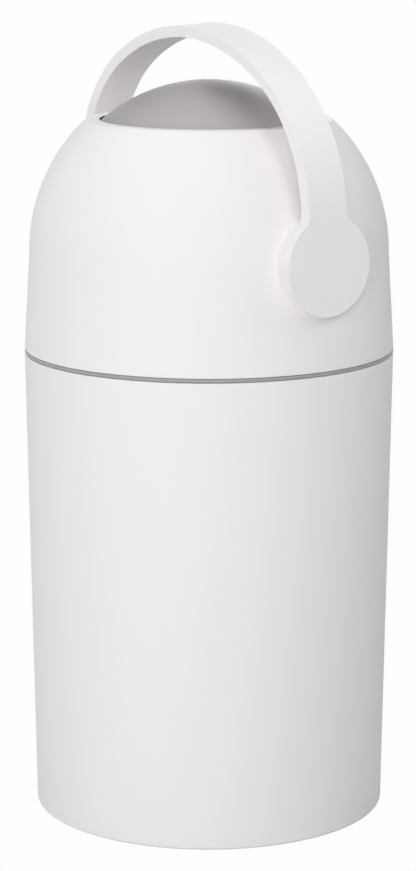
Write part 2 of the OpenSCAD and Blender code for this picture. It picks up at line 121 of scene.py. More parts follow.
class Tree:
    """A node tree under construction."""

    def __init__(self, tree):
        self.nodes, self.links = tree.nodes, tree.links

    def add(self, kind, sockets=None, out=0, **settings):
        """Adds a node: sets its settings, then the values or links of its sockets."""
        node = self.nodes.new(kind)
        for name, value in settings.items():
            setattr(node, name, value)
        for name, value in (sockets or {}).items():
            if isinstance(value, Value):
                self.links.new(value.socket, node.inputs[name])
            else:
                node.inputs[name].default_value = value
        return Value(self, node.outputs[out])

    def end(self, kind, name, value):
        """Ends the tree in its output node."""
        self.links.new(value.socket, self.nodes.new(kind).inputs[name])

    def math(self, operation, *values):
        return self.add("ShaderNodeMath", dict(enumerate(values)), operation=operation)

    def vector(self, **parts):
        """A vector from those of X, Y and Z that are given."""
        return self.add("ShaderNodeCombineXYZ", parts)

    def noise(self, place, scale, detail=2.0, roughness=0.5):
        sockets = {"Vector": place, "Scale": scale, "Detail": detail, "Roughness": roughness}
        return self.add("ShaderNodeTexNoise", sockets)

    def bump(self, strength, distance, height):
        sockets = {"Strength": strength, "Distance": distance, "Height": height}
        return self.add("ShaderNodeBump", sockets)

    def blend(self, factor, first, second):
        """Mixes two colours: a Mix node takes them on 6 and 7 and gives them on 2."""
        sockets = {0: factor, 6: first, 7: second}
        return self.add("ShaderNodeMix", sockets, out=2, data_type="RGBA")

    def ring(self, resolution, radius):
        """A circle as a curve."""
        sockets = {"Resolution": resolution, "Radius": radius}
        return self.add("GeometryNodeCurvePrimitiveCircle", sockets)

    def moved(self, shape, **sockets):
        """A shape after a Translation or Rotation."""
        return self.add("GeometryNodeTransform", {"Geometry": shape, **sockets})

    def join(self, *shapes):
        """Joins geometries."""
        node = self.nodes.new("GeometryNodeJoinGeometry")
        for shape in reversed(shapes):
            self.links.new(shape.socket, node.inputs[0])
        return Value(self, node.outputs[0])


# Finishes


def shade(colour, factor):
    return (*(c * factor for c in colour), 1.0)


def new_material(name):
    material = bpy.data.materials.new(name)
    material.use_nodes = True
    material.node_tree.nodes.clear()
    return material, Tree(material.node_tree)


def finish_surface(tree, base, roughness, normal, **constants):
    """Ends a material in one Principled BSDF."""
    sockets = {"Base Color": base, "Roughness": roughness, "Normal": normal, **constants}
    surface = tree.add("ShaderNodeBsdfPrincipled", sockets, out="BSDF")
    tree.end("ShaderNodeOutputMaterial", "Surface", surface)


def moulded(tree, place, colour, roughness, grain, depth, mottle):
    """Injection moulded plastic with the fine grain of an eroded tool.

    grain is the size of that grain, depth its height, and mottle how far the tone wanders.
    """
    cloud = tree.noise(place, scale=9.0, detail=3.0)
    patch = tree.noise(place, scale=55.0)
    pores = tree.noise(place, scale=1 / grain, detail=1.0, roughness=0.6)
    coarse = tree.noise(place, scale=0.35 / grain, detail=1.0)
    tone = cloud * 0.7 + patch * 0.2 + pores * 0.1
    base = tree.blend(tone, shade(colour, 1 - mottle), shade(colour, 1 + mottle))
    rough = roughness + (patch - 0.5) * 0.08 + (pores - 0.5) * 0.1
    normal = tree.bump(strength=0.6, distance=depth, height=pores + coarse * 0.6)
    finish_surface(tree, base, rough, normal, IOR=1.49)


def rubber(tree, place, colour):
    """Matt seal rubber with a dusting of talc."""
    dust = tree.noise(place, scale=60.0, detail=5.0, roughness=0.7)
    fleck = tree.noise(place, scale=1800.0, detail=1.0)
    base = tree.blend(dust * 0.8 + fleck * 0.2, shade(colour, 0.7), shade(colour, 1.6))
    rough = 0.72 + (dust - 0.5) * 0.2
    normal = tree.bump(strength=0.4, distance=0.00008, height=fleck)
    finish_surface(tree, base, rough, normal, IOR=1.5)


def zinc(tree, place, colour):
    """Zinc plated steel: turned, with clouded passivation."""
    cloud = tree.noise(place, scale=300.0, detail=3.0)
    scratch = tree.noise(place, scale=2500.0)
    base = tree.blend(cloud, shade(colour, 0.8), shade(colour, 1.1))
    rough = 0.28 + cloud * 0.12 + scratch * 0.08
    normal = tree.bump(strength=0.3, distance=0.00003, height=scratch)
    finish_surface(tree, base, rough, normal, Metallic=1.0)


def finishes():
    """The finish of each material slot, made once."""
    sizes = bpy.context.scene.nappy_bin_finish
    made = {}
    # plastics: colour, roughness, size and height of the grain in metres, mottle
    recipes = {
        "white_shell": (moulded, sizes.white, 0.62, 0.00045, 0.00003, 0.008),
        "white_handle": (moulded, sizes.white_handle, 0.6, 0.0004, 0.000025, 0.008),
        "grey_ring": (moulded, sizes.grey_ring, 0.4, 0.0004, 0.00004, 0.03),
        "grey_drum": (moulded, sizes.grey_drum, 0.42, 0.0005, 0.00005, 0.02),
        "inner_plastic": (moulded, (0.52, 0.52, 0.51), 0.5, 0.0005, 0.00005, 0.03),
        "piston_plastic": (moulded, (0.6, 0.6, 0.59), 0.45, 0.0005, 0.00004, 0.03),
        "bush_plastic": (moulded, (0.74, 0.71, 0.62), 0.3, 0.0003, 0.000015, 0.03),
        "seal_rubber": (rubber, (0.014, 0.014, 0.015)),
        "screw_steel": (zinc, (0.62, 0.62, 0.6)),
    }
    for slot, (recipe, *values) in recipes.items():
        name = slot + "_finish"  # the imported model's own flat materials have the slots' names
        if name not in bpy.data.materials:
            _, tree = new_material(name)
            recipe(tree, tree.add("ShaderNodeTexCoord", out="Object"), *values)
        made[slot] = bpy.data.materials[name]
    return made


# Meshes


def add_object(name, data):
    thing = bpy.data.objects.new(name, data)
    bpy.context.scene.collection.objects.link(thing)
    return thing


def mesh_from(name, verts, faces, edges=()):
    mesh = bpy.data.meshes.new(name)
    mesh.from_pydata(verts, edges, faces)
    return add_object(name, mesh)


def prism(name, outline, start, end, place):
    """A straight prism: place makes a point from an outline's two values and a height."""
    n = len(outline)
    verts = [place(a, b, h) for h in (start, end) for a, b in outline]
    faces = [tuple(range(n))[::-1], tuple(range(n, 2 * n))]
    faces += [(i, (i + 1) % n, n + (i + 1) % n, n + i) for i in range(n)]
    piece = mesh_from(name, verts, faces)
    outward(piece)
    return piece


def along_x(a, b, h):
    """Lays a prism along X, with its outline upright."""
    return h, a, b


def along_y(a, b, h):
    """Lays a prism along Y, with its outline upright."""
    return a, h, b


def outward(piece):
    """Merges doubles and points the faces of a closed mesh outwards."""
    work = bmesh.new()
    work.from_mesh(piece.data)
    bmesh.ops.remove_doubles(work, verts=work.verts, dist=TINY)
    bmesh.ops.recalc_face_normals(work, faces=work.faces)
    work.to_mesh(piece.data)
    work.free()


def arc(cx, cy, r, start, end, steps):
    """Points of an arc, angles in degrees."""
    turn = [math.radians(start + (end - start) * i / steps) for i in range(steps + 1)]
    return [(cx + r * math.cos(a), cy + r * math.sin(a)) for a in turn]


def circle(r, steps):
    return arc(0, 0, r, 0, 360, steps)[:-1]


def cut(piece, tool, operation):
    """Adds a Boolean with a tool that baked() removes."""
    modifier = piece.modifiers.new(operation.title(), "BOOLEAN")
    modifier.operation, modifier.solver, modifier.object = operation, "EXACT", tool
    tool.hide_render = True


def soften(piece, width, segments, angle):
    """Rounds the edges that turn by more than an angle, with the flat faces kept flat."""
    modifier = piece.modifiers.new("Edges", "BEVEL")
    modifier.width, modifier.segments = width, segments
    modifier.limit_method, modifier.angle_limit = "ANGLE", math.radians(angle)
    modifier.use_clamp_overlap, modifier.harden_normals = True, True
    modifier.miter_outer = "MITER_ARC"


def baked(piece, tools=()):
    """Turns the evaluated piece into a plain mesh and removes its modifiers and tools."""
    bpy.context.view_layer.update()
    seen = piece.evaluated_get(bpy.context.evaluated_depsgraph_get())
    mesh = bpy.data.meshes.new_from_object(seen)
    piece.modifiers.clear()
    piece.data = mesh
    mesh.name = piece.name
    for tool in tools:
        bpy.data.objects.remove(tool)
    return piece


def merged_copy(node, name):
    """A node's mesh with its loose triangles merged, smooth between its sharp edges."""
    piece = mesh_from(name, (), ())
    work = bmesh.new()
    work.from_mesh(NODES[node].data)
    bmesh.ops.remove_doubles(work, verts=work.verts, dist=WELD)
    bmesh.ops.dissolve_degenerate(work, edges=work.edges, dist=TINY)
    for face in work.faces:
        face.smooth = True
    for edge in work.edges:
        edge.smooth = edge.calc_face_angle(math.pi) < SHARP
    work.to_mesh(piece.data)
    work.free()
    return piece


def dress(piece, body, slot, *nodes):
    """Gives a finished piece its finish and its body, and hides the nodes that it stands for."""
    piece.data.materials.clear()
    piece.data.materials.append(finishes()[slot])
    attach(piece, body)
    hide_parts(*nodes)


# Geometry Nodes


WING_WIDTH = 0.28  # width of a cross recess to its length
RIDGE = 0.28  # height of a thread's ridge to its pitch


def new_group(name, inputs):
    """An empty Geometry Nodes tree with its inputs, their values and its output."""
    group = bpy.data.node_groups.new(name, "GeometryNodeTree")
    for label, kind in inputs.items():
        group.interface.new_socket(label, in_out="INPUT", socket_type="NodeSocket" + kind)
    group.interface.new_socket("Geometry", in_out="OUTPUT", socket_type="NodeSocketGeometry")
    tree = Tree(group)
    given = tree.nodes.new("NodeGroupInput")
    return group, tree, [Value(tree, given.outputs[label]) for label in inputs]


def finish_group(tree, shape, finish):
    """Ends a tree with real geometry in its finish."""
    real = tree.add("GeometryNodeRealizeInstances", {"Geometry": shape})
    coated = tree.add("GeometryNodeSetMaterial", {"Geometry": real, "Material": finish})
    tree.end("NodeGroupOutput", "Geometry", coated)


def turning_tree():
    """Rounds the corners of an outline of radius and height, and turns it about Z."""
    name = "turned_moulding"
    if name in bpy.data.node_groups:
        return bpy.data.node_groups[name]
    inputs = {"Outline": "Geometry", "Segments": "Int", "Corner steps": "Int", "Finish": "Material"}
    group, tree, (outline, segments, steps, finish) = new_group(name, inputs)
    path = tree.add("GeometryNodeMeshToCurve", {"Mesh": outline})
    radius = tree.add("GeometryNodeInputNamedAttribute", {"Name": ROUNDING}, data_type="FLOAT")
    corners = {"Curve": path, "Count": steps, "Radius": radius, "Limit Radius": True}
    soft = tree.add("GeometryNodeFilletCurve", corners, mode="POLY")
    # a circle of 1 m carries the outline round, upside down
    profile = tree.moved(soft, Translation=(-1, 0, 0), Rotation=(math.pi / 2, 0, 0))
    track = tree.ring(segments, 1)
    level = tree.add("GeometryNodeSetCurveNormal", {"Curve": track}, mode="Z_UP")
    swept = tree.add("GeometryNodeCurveToMesh", {"Curve": level, "Profile Curve": profile})
    weld = {"Geometry": swept, "Distance": AXIS_WELD}
    closed = tree.add("GeometryNodeMergeByDistance", weld)
    smooth = tree.add("GeometryNodeSetShadeSmooth", {"Geometry": closed})
    finish_group(tree, smooth, finish)
    return group


def screw_tree():
    """A ring of like screws about Z: heads up at the height 0, cross recess, rolled thread."""
    name = "screw_ring"
    if name in bpy.data.node_groups:
        return bpy.data.node_groups[name]
    inputs = {
        "Outline": "Geometry", "Thread radius": "Float", "Thread start": "Float",
        "Thread length": "Float", "Pitch": "Float", "Recess": "Float", "Count": "Int",
        "Ring radius": "Float", "First angle": "Float", "Finish": "Material",
    }
    group, tree, values = new_group(name, inputs)
    outline, radius, start, long, pitch, recess, count, ring, first, finish = values
    turning = {"Outline": outline, "Segments": 24, "Corner steps": 3}
    blank = tree.add("GeometryNodeGroup", turning, node_tree=turning_tree())
    wing = tree.vector(X=recess, Y=recess * WING_WIDTH, Z=recess)
    bar = tree.add("GeometryNodeMeshCube", {"Size": wing})
    cross = tree.join(bar, tree.moved(bar, Rotation=(0, 0, math.pi / 2)))
    parts = {"Mesh 1": blank, "Mesh 2": cross, "Self Intersection": True}
    exact = {"operation": "DIFFERENCE", "solver": "EXACT"}
    head = tree.add("GeometryNodeMeshBoolean", parts, **exact)
    turns = {"Resolution": 14, "Rotations": long / pitch, "Height": long}
    turns |= {"Start Radius": radius, "End Radius": radius}
    coil = tree.add("GeometryNodeCurveSpiral", turns)
    wound = {"Curve": coil, "Profile Curve": tree.ring(4, pitch * RIDGE), "Fill Caps": True}
    thread = tree.add("GeometryNodeCurveToMesh", wound)
    thread = tree.moved(thread, Translation=tree.vector(Z=start))
    turn = tree.add("GeometryNodeInputIndex") * math.tau / count + first
    spot = tree.vector(X=turn.math("COSINE") * ring, Y=turn.math("SINE") * ring)
    points = tree.add("GeometryNodePoints", {"Count": count, "Position": spot})
    screws = {"Points": points, "Instance": tree.join(head, thread)}
    finish_group(tree, tree.add("GeometryNodeInstanceOnPoints", screws), finish)
    return group


def rib_tree():
    """A ring of like upright ribs about Z, joined to a body."""
    inputs = {
        "Geometry": "Geometry", "Count": "Int", "Inner radius": "Float", "Outer radius": "Float",
        "Thickness": "Float", "Low": "Float", "High": "Float", "Finish": "Material",
    }
    group, tree, values = new_group("rib_ring", inputs)
    body, count, inner, outer, thickness, bottom, top, finish = values
    size = tree.vector(X=outer - inner, Y=thickness, Z=top - bottom)
    rib = tree.add("GeometryNodeMeshCube", {"Size": size})
    middle = tree.vector(X=(outer + inner) / 2, Z=(top + bottom) / 2)
    rib = tree.moved(rib, Translation=middle)
    turn = tree.add("GeometryNodeInputIndex") * math.tau / count
    points = tree.add("GeometryNodePoints", {"Count": count})
    ribs = {"Points": points, "Instance": rib, "Rotation": tree.vector(Z=turn)}
    ring = tree.add("GeometryNodeInstanceOnPoints", ribs)
    finish_group(tree, tree.join(body, ring), finish)
    return group


def add_nodes(piece, group, **values):
    """Adds a Geometry Nodes modifier and sets its inputs by their sockets' identifiers."""
    modifier = piece.modifiers.new(group.name, "NODES")
    modifier.node_group = group
    sockets = [item for item in group.interface.items_tree if item.in_out == "INPUT"]
    names = {item.name: item.identifier for item in sockets}
    for label, value in values.items():
        modifier[names[label.replace("_", " ").capitalize()]] = value


def outline_mesh(name, points, closed):
    """The bare outline that the trees turn: points are (radius, height, rounding of the corner)."""
    n = len(points)
    edges = [(i, (i + 1) % n) for i in range(n if closed else n - 1)]
    piece = mesh_from(name, [(r, 0, z) for r, z, _ in points], (), edges)
    rounding = piece.data.attributes.new(ROUNDING, "FLOAT", "POINT")
    rounding.data.foreach_set("value", [corner for *_, corner in points])
    return piece


def settle(piece, place=None):
    """Bakes a shape and puts it in its place, with faces outwards and smooth normals."""
    baked(piece)
    if place:
        piece.data.transform(place)
    outward(piece)
    piece.modifiers.new("Normals", "WEIGHTED_NORMAL")
    baked(piece)


def turned(name, body, slot, node, points, closed=True, segments=SEGMENTS, place=None):
    """Makes a moulding turned about Z, puts it in its place and dresses it as a node."""
    piece = outline_mesh(name, points, closed)
    add_nodes(piece, turning_tree(), segments=segments, corner_steps=4, finish=finishes()[slot])
    settle(piece, place)
    dress(piece, body, slot, node)


# Sizes and colours


def number(name, description, value, **kind):
    """A number as a property."""
    return FloatProperty(name=name, description=description, default=value, **kind)


def length(name, description, size):
    """A length in millimetres as a property."""
    return number(name, description, size * MM, unit="LENGTH")


def triple(name, description, kind, values):
    """A colour or a place as a property."""
    return FloatVectorProperty(name=name, description=description, subtype=kind, default=values)


class FinishSizes(bpy.types.PropertyGroup):
    white: triple("White", "Colour of bin and lid", "COLOR", (0.9, 0.873, 0.881))
    white_handle: triple("Handle white", "Colour of the handle", "COLOR", (0.905, 0.88, 0.885))
    grey_ring: triple("Ring grey", "Colour of the bag ring", "COLOR", (0.375, 0.36, 0.357))
    grey_drum: triple("Drum grey", "Colour of the ball", "COLOR", (0.402, 0.385, 0.379))


class BinSizes(bpy.types.PropertyGroup):
    base: length("Base", "Radius where the bin stands on the floor", 139)
    wall: length("Wall", "Wall thickness of the bin", 2.6)
    floor: length("Floor", "Thickness of the bin's floor", 3)
    foot: length("Foot", "Height of the hollow under the floor", 6)
    foot_width: length("Foot width", "Width of the ring that the bin stands on", 9)
    base_round: length("Base rounding", "Rounding of the bottom edge", 2.2)
    floor_round: length("Floor rounding", "Rounding inside, between floor and wall", 6)
    edge: length("Edge", "Rounding of the rim", 0.45)
    ring_edge: length("Ring edge", "Rounding of the bag ring's lower outer edge", 0.9)
    rib_start: length("Rib start", "Distance of the ribs from the middle of the floor", 20)
    ribs: IntProperty(name="Ribs", description="Ribs under the floor", default=6, min=1)
    collar: length("Collar", "Height of the bag ring's collar", 15)
    collar_wall: length("Collar wall", "Wall of that collar", 2)
    collar_gap: length("Collar gap", "Gap between the collar and the bin", 0.4)


class OpeningSizes(bpy.types.PropertyGroup):
    gap: length("Gap", "Gap between the ball and the edge of the solid lid's opening", 1)
    wider: length("Wider", "How much the lid's opening is widened", 1)
    dome: length("Dome", "Radius of the lid's dome", 140.6)
    dome_z: length("Dome height", "Height of the dome's centre", 444.6)
    shoulder: length("Shoulder", "Rounding between the solid lid's dome and its flat top", 5)
    crisp: length("Crisp", "Rounding that takes its place", 2)
    land: length("Land", "Depth of the opening's wall", 2.6)
    seal: length("Seal", "Gap between the seal and the ball", 0.3)
    lip: length("Lip", "Thickness of the seal's lip that lines the opening", 0.8)
    below: length("Below", "How far the lip ends below the top of the lid", 0.4)
    snug: length("Snug", "Clearance of that lip in the opening", 0.05)
    edge: length("Edge", "Rounding of the seal's edges", 0.3)


class DrumSizes(bpy.types.PropertyGroup):
    ball: length("Ball", "Radius of the ball", 128.2)
    chute: length("Chute", "Radius of the chute", 75)
    chute_wall: length("Chute wall", "Wall of the chute tube", 2.2)
    seat: length("Seat", "Width of the seat round each mouth", 6.9)
    stand: length("Stand", "How far the tube's ends stand past those seats", 3.5)
    lip: length("Lip", "Inner radius of the stop rings", 71)
    lean: number("Lean", "Lean of the drum at rest", math.radians(2.5), subtype="ANGLE")
    edge: length("Edge", "Rounding of the tube's ends", 0.5)


class PistonSizes(bpy.types.PropertyGroup):
    radius: length("Radius", "Radius of the sleeve", 74.2)
    length: length("Length", "Length of the sleeve", 36)
    wall: length("Wall", "Wall of the sleeve", 4)
    web: length("Web", "Thickness of the web across the sleeve", 2.4)
    groove: length("Groove", "Depth of each wiper's groove", 1.9)
    wiper: length("Wiper", "Width of each wiper", 2.8)
    wiper_in: length("Wiper inset", "Distance of each wiper from the sleeve's end", 4.5)
    snug: length("Snug", "Clearance between pieces of the piston", 0.1)
    spigot: length("Spigot", "Length of each cap inside the sleeve", 6)
    cap_wall: length("Cap wall", "Wall of each cap", 2.4)
    cap_gap: length("Cap gap", "Clearance of each cap in the stop ring", 0.5)
    soft_gap: length("Soft gap", "Clearance of each wiper in the chute", 0.3)
    edge: length("Edge", "Rounding of the edges", 0.8)


class ScrewSizes(bpy.types.PropertyGroup):
    pitch: number("Pitch", "Pitch of the threads to the shank's radius", 0.75)
    recess: number("Recess", "Length of the cross recess to the head's radius", 1.05)
    trunnion_ring: length("Trunnion ring", "Radius of the ring of trunnion screws", 23.5)
    trunnion_face: length("Trunnion face", "Distance of their heads from the middle", 124.85)
    web_face: length("Web face", "Distance of the hub screws' heads from the middle", 127)


class HandleSizes(bpy.types.PropertyGroup):
    width: length("Width", "Width of the handle", 35)
    crown: length("Crown", "Thickness at the top", 8.5)
    leg: length("Leg", "Thickness of the legs", 10.4)
    rise: length("Rise", "How much further from the pivot the top is than the hubs' faces", 20.8)
    split: number("Split", "Where the top arc ends", math.radians(33), subtype="ANGLE")
    hub: length("Hub", "Radius of the hubs", 38.4)
    hub_thickness: length("Hub thickness", "Thickness of the hubs", 7)
    fillet: length("Fillet", "Fillet between hub and leg", 9)
    clearance: length("Clearance", "Gap between the legs and the lid's bosses", 0.6)
    stub: length("Stub", "Radius of the keyed stub", 9)
    stub_length: length("Stub length", "Length of the keyed stub", 8.9)
    key: number("Key", "Share of the stub between its flats", 0.82)
    pilot: length("Pilot", "Radius of the hub screw's hole", 2)
    pilot_depth: length("Pilot depth", "Depth of that hole past the stub", 3.5)
    edge: length("Edge", "Rounding of the edges", 0.8)
    steps: IntProperty(name="Steps", description="Facets of the top arc", default=48, min=8)


class StageSizes(bpy.types.PropertyGroup):
    floor: length("Floor", "Size of the floor", 60000)
    floor_grey: number("Floor grey", "Grey of the floor that catches the light", 0.5)
    glow: number("Glow", "How bright the floor is by itself", 0.99)
    world: number("World", "How bright the backdrop is", 0.99)
    distance: length("Distance", "Distance of the lights", 2600)
    panel: length("Panel", "Side of each light", 1400)
    lens: number("Lens", "Focal length of the camera in millimetres", 120.54)
    sensor: number("Sensor", "Width of its sensor in millimetres", 36)
    shift: number("Shift", "How far the picture is moved sideways, to its width", -0.0012)
    reach: length("Reach", "How far the camera sees", 200000)
    eye: triple("Eye", "Where the camera stands", "XYZ", (1.819, -1.3506, 0.7667))
    pitch: number("Pitch", "How far the camera looks down", 0.2047, subtype="ANGLE")


# Bin and bag ring


def bin_inside(sizes, height):
    """Inner radius of the bin at a height."""
    return sizes.base + (SEAM_R - sizes.base) * height / BODY_H - sizes.wall


class NAPPYBIN_OT_bin(bpy.types.Operator):
    """Makes the tub with its ribbed foot"""

    bl_idname = "nappybin.bin"
    bl_label = "Bin"

    def execute(self, context):
        sizes = context.scene.nappy_bin_bin
        top_of_floor, hollow = sizes.foot + sizes.floor, sizes.base - sizes.foot_width
        outline = [
            (0, sizes.foot, 0),
            (hollow, sizes.foot, sizes.floor),
            (hollow, 0, sizes.base_round),
            (sizes.base, 0, sizes.base_round),
            (SEAM_R, BODY_H, sizes.edge),
            (bin_inside(sizes, BODY_H), BODY_H, sizes.edge),
            (bin_inside(sizes, top_of_floor), top_of_floor, sizes.floor_round),
            (0, top_of_floor, 0),
        ]
        piece = outline_mesh("tub", outline, closed=False)
        finish = finishes()["white_shell"]
        add_nodes(piece, turning_tree(), segments=FINE_SEGMENTS, corner_steps=5, finish=finish)
        # the ribs reach 1 mm into the ring that the bin stands on and into the floor
        add_nodes(
            piece,
            rib_tree(),
            count=sizes.ribs,
            inner_radius=sizes.rib_start,
            outer_radius=hollow + MM,
            thickness=sizes.wall,
            low=sizes.foot / 2,
            high=sizes.foot + MM,
            finish=finish,
        )
        settle(piece)
        dress(piece, "bin", "white_shell", "bin_body")
        return {"FINISHED"}


class NAPPYBIN_OT_bag_ring(bpy.types.Operator):
    """Makes the grey ring that holds the bag"""

    bl_idname = "nappybin.bag_ring"
    bl_label = "Bag ring"

    def execute(self, context):
        sizes = context.scene.nappy_bin_bin
        top, seat = high("bag_ring").z, low("bag_ring").z + sizes.collar
        outer = bin_inside(sizes, BODY_H - sizes.collar) - sizes.collar_gap
        inner, bottom, edge = outer - sizes.collar_wall, seat - sizes.collar, sizes.edge
        # the collar's lower end is chamfered by 0.5 and 1 mm
        outline = [
            (inner, bottom, edge),
            (outer - MM / 2, bottom, edge / 2),
            (outer, bottom + MM, edge),
            (outer, seat, edge / 2),
            (SEAM_R, seat, sizes.ring_edge),
            (SEAM_R, top, edge),
            (inner, top, 2 * edge),
        ]
        kind = "bag_holder_ring", "bag_holder", "grey_ring", "bag_ring", outline
        turned(*kind, segments=FINE_SEGMENTS)
        return {"FINISHED"}


# Lid and its seal


def ball_r(r, z):
    """Distance from Z of a sphere of radius r round the pivot, at a height."""
    return math.sqrt(r**2 - (z - PIVOT_Z) ** 2)


class NAPPYBIN_OT_lid(bpy.types.Operator):
    """Makes the domed lid from the solid one, with a wider opening and a crisper shoulder"""

    bl_idname = "nappybin.lid"
    bl_label = "Lid"

    def execute(self, context):
        sizes, ball = context.scene.nappy_bin_opening, context.scene.nappy_bin_drum.ball
        piece = merged_copy("dome_shell", "lid_dome")
        old_r, old_z, old_low = self.shoulder(sizes, sizes.shoulder)
        new_r, new_z, new_low = self.shoulder(sizes, sizes.crisp)
        for vertex in piece.data.vertices:
            spot = vertex.co
            if spot.z < TOP_Z - sizes.shoulder:
                continue
            to = r = math.hypot(spot.x, spot.y)
            side, up = r - old_r, spot.z - old_z
            wall = ball_r(ball + sizes.gap, spot.z)
            if abs(math.hypot(side, up) - sizes.shoulder) < NEAR and side > -NEAR:
                share = (math.atan2(up, side) - old_low) / (math.pi / 2 - old_low)
                turn = new_low + (math.pi / 2 - new_low) * share
                to = new_r + sizes.crisp * math.cos(turn)
                spot.z = new_z + sizes.crisp * math.sin(turn)
            elif spot.z > TOP_Z - sizes.land - NEAR and abs(r - wall) < NEAR:
                to = r + sizes.wider
            spot.x, spot.y = spot.x * to / r, spot.y * to / r
        dress(piece, "lid", "white_shell", "dome_shell")
        return {"FINISHED"}

    def shoulder(self, sizes, radius):
        """Where a rounding between dome and flat top has its centre, and its lowest angle."""
        z = TOP_Z - radius
        r = math.sqrt((sizes.dome - radius) ** 2 - (z - sizes.dome_z) ** 2)
        return r, z, math.atan2(z - sizes.dome_z, r)


class NAPPYBIN_OT_seal(bpy.types.Operator):
    """Makes the wiper ring under the lid's opening, with a lip that lines the opening"""

    bl_idname = "nappybin.seal"
    bl_label = "Seal"

    def execute(self, context):
        sizes, ball = context.scene.nappy_bin_opening, context.scene.nappy_bin_drum.ball
        bottom, top, outer = low("top_seal").z, high("top_seal").z, high("top_seal").x
        wall, out = ball + sizes.gap, sizes.wider - sizes.snug
        tip, edge = TOP_Z - sizes.below, sizes.edge
        # the lip is black rubber that lines the opening's wall up to just under the top, and makes
        # the gap round the ball dark
        lining = self.bent(wall, out, top, tip, edge)
        lip = self.bent(wall, out - sizes.lip, tip, top, edge)
        wiper = self.bent(ball + sizes.seal, 0, top, bottom, edge)
        outline = [(outer, bottom, edge), (outer, top, edge), *lining, *lip, *wiper]
        turned("opening_seal", "lid", "seal_rubber", "top_seal", outline)
        return {"FINISHED"}

    def bent(self, r, out, start, end, edge):
        """Part of an outline: a sphere round the pivot, moved outwards, with rounded ends."""
        steps = 6
        heights = [start + (end - start) * i / steps for i in range(steps + 1)]
        return [(ball_r(r, z) + out, z, edge if z in (start, end) else 0) for z in heights]


# Chute and piston


def chute_end(drum):
    """Distance of the chute tube's ends from the pivot."""
    mouth = drum.chute + drum.chute_wall + drum.seat
    return math.sqrt(drum.ball**2 - mouth**2) + drum.stand


def on_pivot(turn):
    """Turns what stands about the origin by an angle about X and lifts it to the pivot."""
    return Matrix.Translation((0, 0, PIVOT_Z)) @ Matrix.Rotation(turn, 4, "X")


def drum_place(along=0.0, flip=False):
    """Lays a moulding turned about Z on the chute's axis, at a distance along the chute."""
    sizes = bpy.context.scene.nappy_bin_drum
    place = on_pivot(sizes.lean - math.pi / 2) @ Matrix.Translation((0, 0, along))
    return place @ Matrix.Rotation(math.pi, 4, "X") if flip else place


class NAPPYBIN_OT_chute(bpy.types.Operator):
    """Makes the tube through the ball"""

    bl_idname = "nappybin.chute"
    bl_label = "Chute"

    def execute(self, context):
        sizes = context.scene.nappy_bin_drum
        inner, end, edge = sizes.chute, chute_end(sizes), sizes.edge
        outer = inner + sizes.chute_wall
        outline = [(inner, -end, edge), (outer, -end, edge), (outer, end, edge), (inner, end, edge)]
        turned("chute_bore", "drum", "inner_plastic", "chute_tube", outline, place=drum_place())
        return {"FINISHED"}


